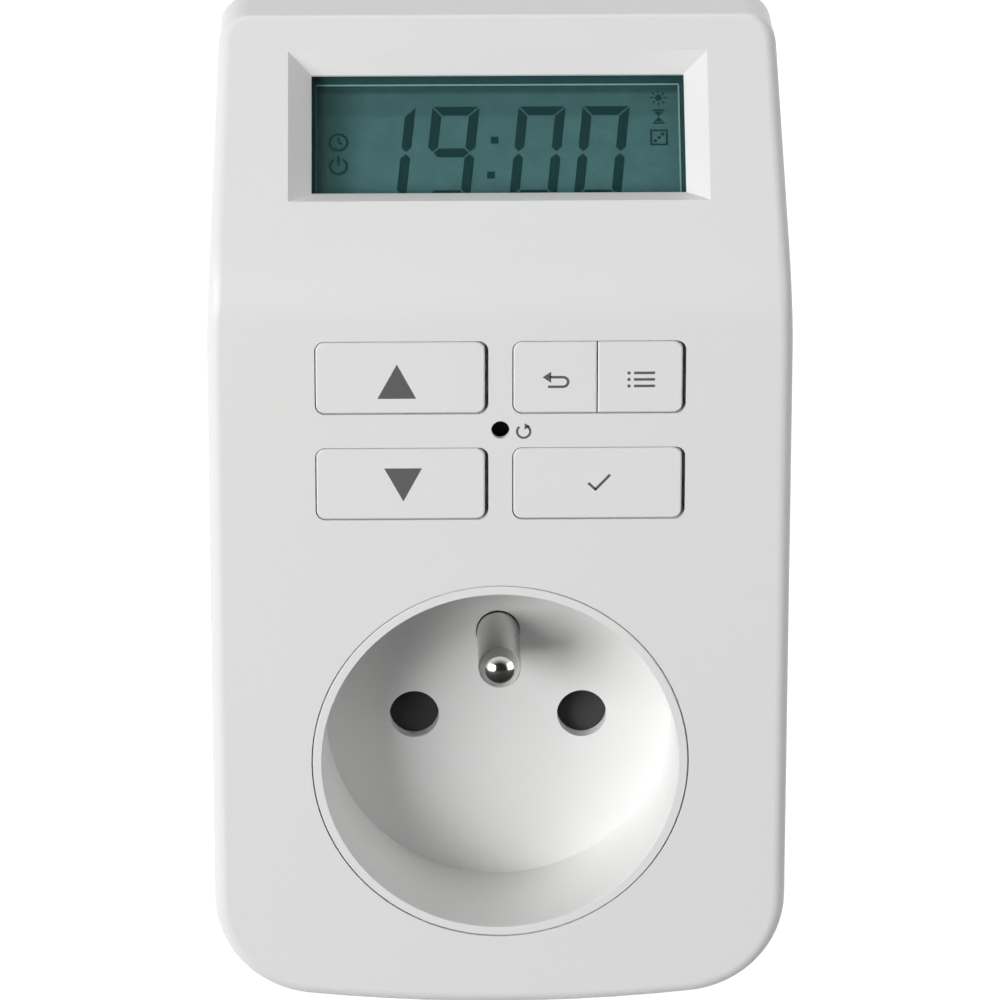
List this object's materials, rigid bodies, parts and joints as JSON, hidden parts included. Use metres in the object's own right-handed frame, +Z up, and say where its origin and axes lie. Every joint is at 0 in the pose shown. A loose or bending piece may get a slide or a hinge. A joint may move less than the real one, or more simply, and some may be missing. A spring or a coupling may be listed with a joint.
{
  "type": "plug-in timer switch",
  "caption": "Plug-in digital timer switch: earthed socket well in front, sloping display, flush keys with a reset pinhole, and a round hybrid plug behind.",
  "frame": {"origin": "centre of the plug's end face, on the axis shared by the plug and the socket", "axes": "+Z up with the display at the top, +Y along the plug's pins into the wall, the socket and the display face -Y"},
  "size_m": [0.064, 0.067, 0.1096],
  "materials": {
    "housing_white": "fine spark-eroded texture",
    "insert_white": "satin moulded",
    "key_white": "satin moulded",
    "shutter_grey": "moulded",
    "carrier_grey": "moulded",
    "spring_steel": "drawn wire",
    "nickel": "nickel plated, polished",
    "contact_brass": "stamped strip",
    "window_clear": "clear moulded pane",
    "lcd_teal": "reflective liquid crystal",
    "holder_white": "moulded",
    "elastomer": "layered elastomer",
    "board_green": "solder mask",
    "board_tan": "paper laminate",
    "resin_black": "moulded resin",
    "can_steel": "drawn can",
    "ribbon_white": "flat cable",
    "header_black": "moulded",
    "capacitor_yellow": "moulded box",
    "sleeve_black": "shrunk sleeve",
    "varistor_blue": "dipped coating",
    "resistor_green": "flameproof coating",
    "relay_blue": "moulded cover",
    "copper_coil": "enamelled copper winding",
    "iron": "zinc plated iron",
    "screw_steel": "zinc plated",
    "switch_black": "moulded",
    "plunger_black": "moulded"
  },
  "bodies": {
    "housing": {"front_housing": "housing_white", "rear_housing": "housing_white", "socket_insert": "insert_white", "plug_body": "insert_white", "contact_carrier": "carrier_grey", "shutter_spring": "spring_steel", "earth_pin": "nickel", "plug_pin_left": "nickel", "plug_pin_right": "nickel", "live_contact": "contact_brass", "neutral_contact": "contact_brass", "live_busbar": "contact_brass", "earth_strap": "contact_brass", "earth_tube": "contact_brass", "lcd_window": "window_clear", "lcd_glass": "lcd_teal", "lcd_holder": "holder_white", "zebra_strip": "elastomer", "key_board": "board_green", "display_board": "board_green", "power_board": "board_tan", "controller_chip": "resin_black", "crystal": "can_steel", "board_ribbon": "ribbon_white", "board_header": "header_black", "mains_capacitor": "capacitor_yellow", "smoothing_capacitor": "sleeve_black", "varistor": "varistor_blue", "fuse_resistor": "resistor_green", "diodes": "resin_black", "transistor": "resin_black", "backup_battery": "can_steel", "relay_case": "relay_blue", "relay_base": "resin_black", "relay_coil": "copper_coil", "relay_yoke": "iron", "relay_contact": "contact_brass", "housing_screws": "screw_steel", "board_screws": "screw_steel", "display_screws": "screw_steel", "switch_up": "switch_black", "switch_down": "switch_black", "switch_recall": "switch_black", "switch_menu": "switch_black", "switch_ok": "switch_black", "switch_reset": "switch_black"},
    "shutter": {"shutter": "shutter_grey"},
    "relay_armature": {"relay_armature": "iron"},
    "button_reset": {"plunger_reset": "plunger_black"},
    "button_up": {"key_up": "key_white", "plunger_up": "plunger_black"},
    "button_down": {"key_down": "key_white", "plunger_down": "plunger_black"},
    "button_recall": {"key_recall": "key_white", "plunger_recall": "plunger_black"},
    "button_menu": {"key_menu": "key_white", "plunger_menu": "plunger_black"},
    "button_ok": {"key_ok": "key_white", "plunger_ok": "plunger_black"}
  },
  "joints": [
    {"name": "key_up_press", "type": "slide", "parent": "housing", "child": "button_up", "axis": [0, 1, 0], "range_m": [0, 0.0005], "stiffness_N_per_m": 1500, "springref_m": -0.0003},
    {"name": "key_down_press", "type": "slide", "parent": "housing", "child": "button_down", "axis": [0, 1, 0], "range_m": [0, 0.0005], "stiffness_N_per_m": 1500, "springref_m": -0.0003},
    {"name": "key_recall_press", "type": "slide", "parent": "housing", "child": "button_recall", "axis": [0, 1, 0], "range_m": [0, 0.0005], "stiffness_N_per_m": 1500, "springref_m": -0.0003},
    {"name": "key_menu_press", "type": "slide", "parent": "housing", "child": "button_menu", "axis": [0, 1, 0], "range_m": [0, 0.0005], "stiffness_N_per_m": 1500, "springref_m": -0.0003},
    {"name": "key_ok_press", "type": "slide", "parent": "housing", "child": "button_ok", "axis": [0, 1, 0], "range_m": [0, 0.0005], "stiffness_N_per_m": 1500, "springref_m": -0.0003},
    {"name": "reset_press", "type": "slide", "parent": "housing", "child": "button_reset", "axis": [0, 1, 0], "range_m": [0, 0.0003], "stiffness_N_per_m": 2500, "springref_m": -0.0002},
    {"name": "shutter_slide", "type": "slide", "parent": "housing", "child": "shutter", "axis": [0, 0, -1], "range_m": [0, 0.007], "stiffness_N_per_m": 60, "springref_m": -0.004, "deforming": ["shutter_spring"]},
    {"name": "relay_armature_hinge", "type": "hinge", "parent": "housing", "child": "relay_armature", "pos_m": [-0.0012, -0.0346, 0.045], "axis": [0, 0, 1], "range_deg": [0, 3.5], "stiffness_Nm_per_rad": 0.05, "springref_deg": -2.86}
  ]
}
